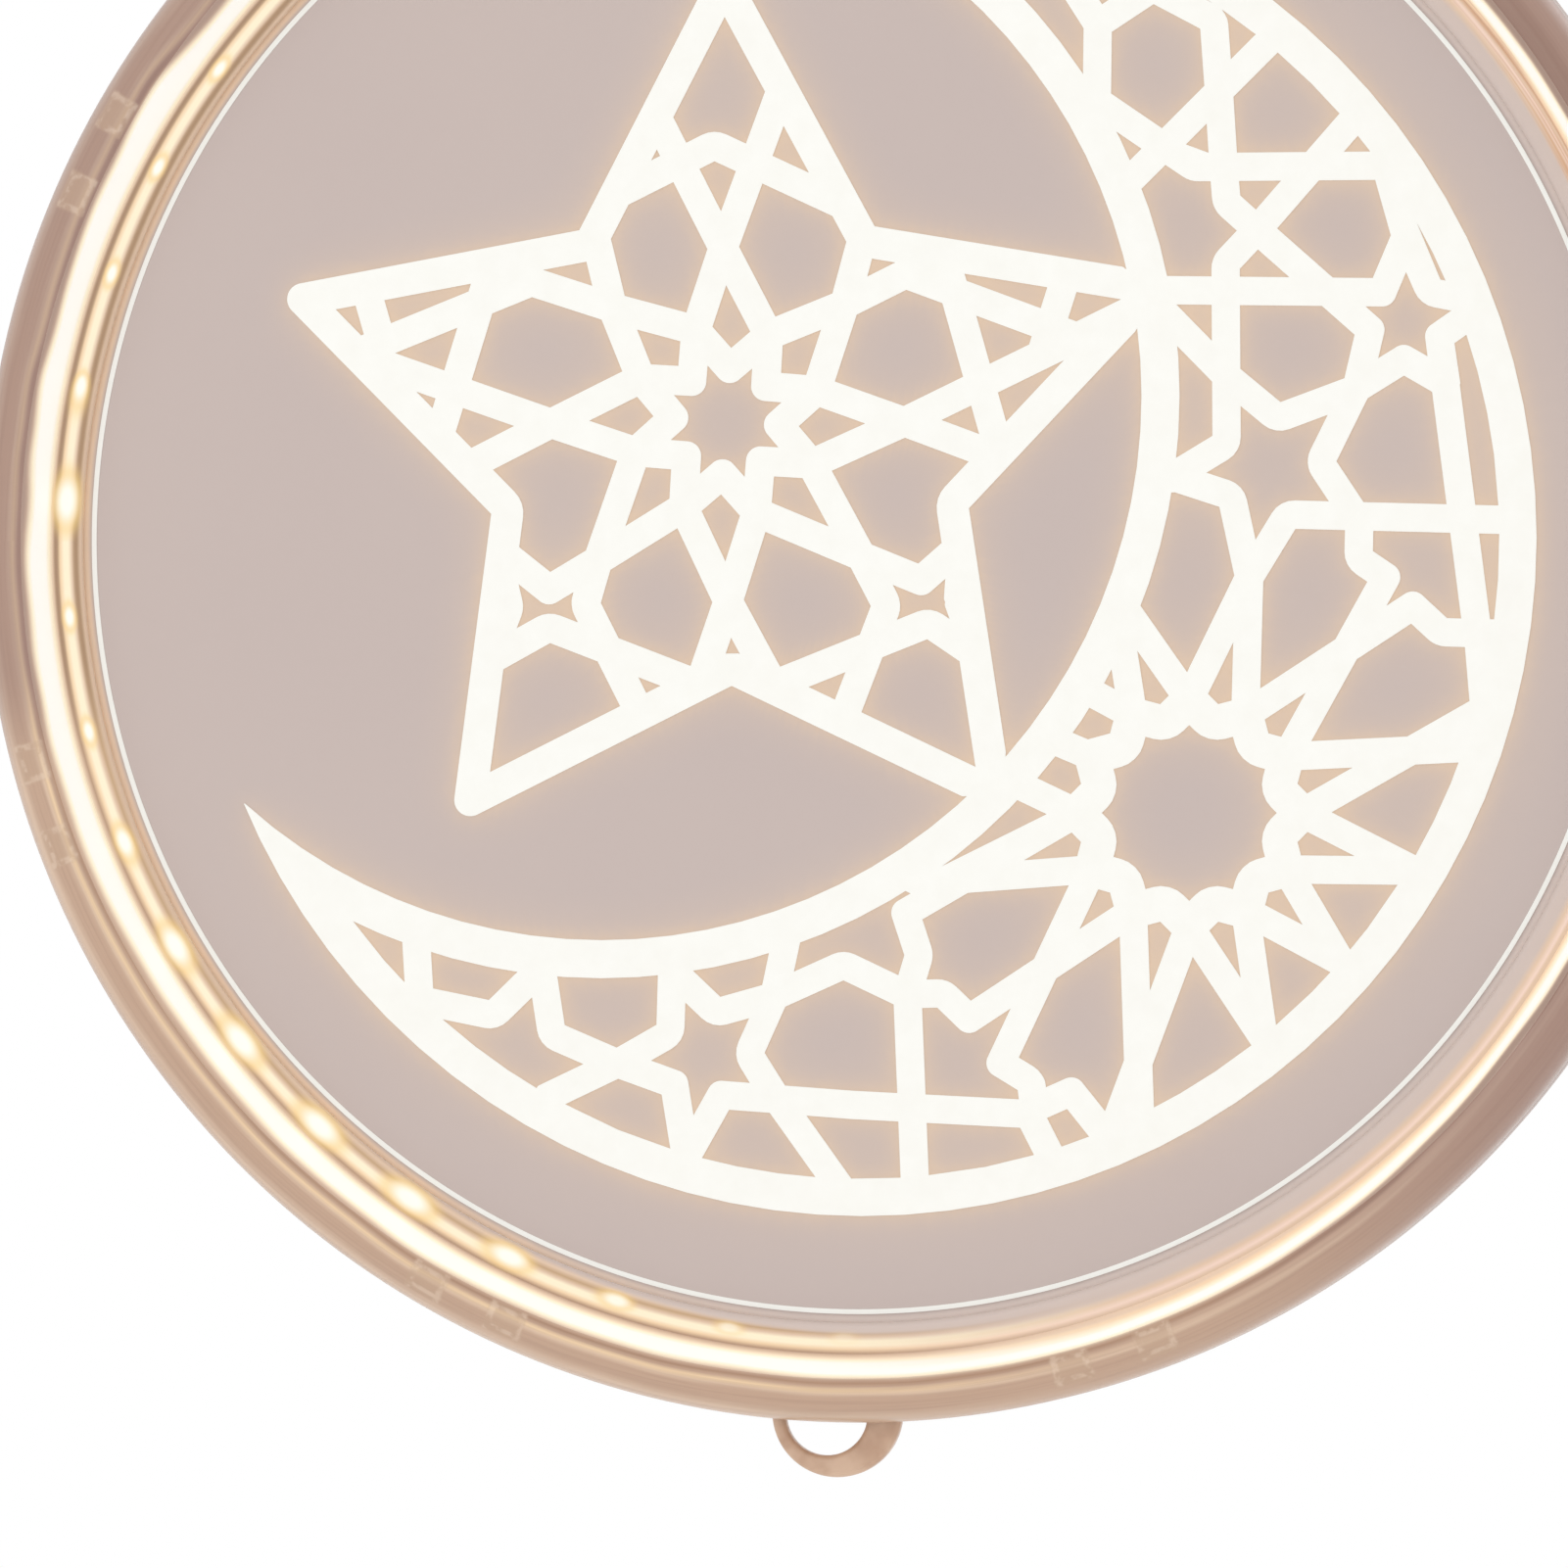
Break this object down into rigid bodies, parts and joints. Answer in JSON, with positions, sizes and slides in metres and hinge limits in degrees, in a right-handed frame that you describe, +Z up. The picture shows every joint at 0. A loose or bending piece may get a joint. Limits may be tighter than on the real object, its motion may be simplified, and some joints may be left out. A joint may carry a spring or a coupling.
{
  "type": "round star and moon hanging light",
  "caption": "Round clear ring light with an edge-lit plate that shows a star and a crescent in interlaced girih lattice, hung by a moulded eyelet.",
  "frame": {"origin": "bearing point of the top eyelet: the highest point of its hole's edge on the mid line, where a hook or cord holds the light", "axes": "-Y is the printed front, +Z is up, +X is to the viewer's right; the ring's parting plane is y = 0"},
  "size_m": [0.18, 0.015, 0.1914],
  "materials": {
    "clear_plastic": "clear moulded plastic, glossy, slightly smoky",
    "acrylic": "clear cast acrylic, polished",
    "white_print": "white printed layer, glows when the plate is lit",
    "led": "warm white LED package",
    "strip": "flexible printed circuit",
    "resistor": "chip resistor, black coat",
    "rubber": "soft translucent rubber"
  },
  "bodies": {
    "root": {"front_ring_shell": "clear_plastic", "rear_ring_shell": "clear_plastic", "light_plate": "acrylic", "star_lattice": "white_print", "crescent_lattice": "white_print", "border_line": "white_print", "led_strip": "strip", "strip_resistor": "resistor", "lead_grommet": "rubber", "led_01": "led", "led_02": "led", "led_03": "led", "led_04": "led", "led_05": "led", "led_06": "led", "led_07": "led", "led_08": "led", "led_09": "led", "led_10": "led", "led_11": "led", "led_12": "led", "led_13": "led", "led_14": "led", "led_15": "led", "led_16": "led", "led_17": "led", "led_18": "led", "led_19": "led", "led_20": "led", "led_21": "led", "led_22": "led", "led_23": "led", "led_24": "led", "led_25": "led", "led_26": "led", "led_27": "led", "led_28": "led", "led_29": "led", "led_30": "led", "led_31": "led", "led_32": "led", "led_33": "led", "led_34": "led", "led_35": "led", "led_36": "led", "led_37": "led", "led_38": "led", "led_39": "led", "led_40": "led", "led_41": "led", "led_42": "led", "led_43": "led"}
  },
  "joints": []
}
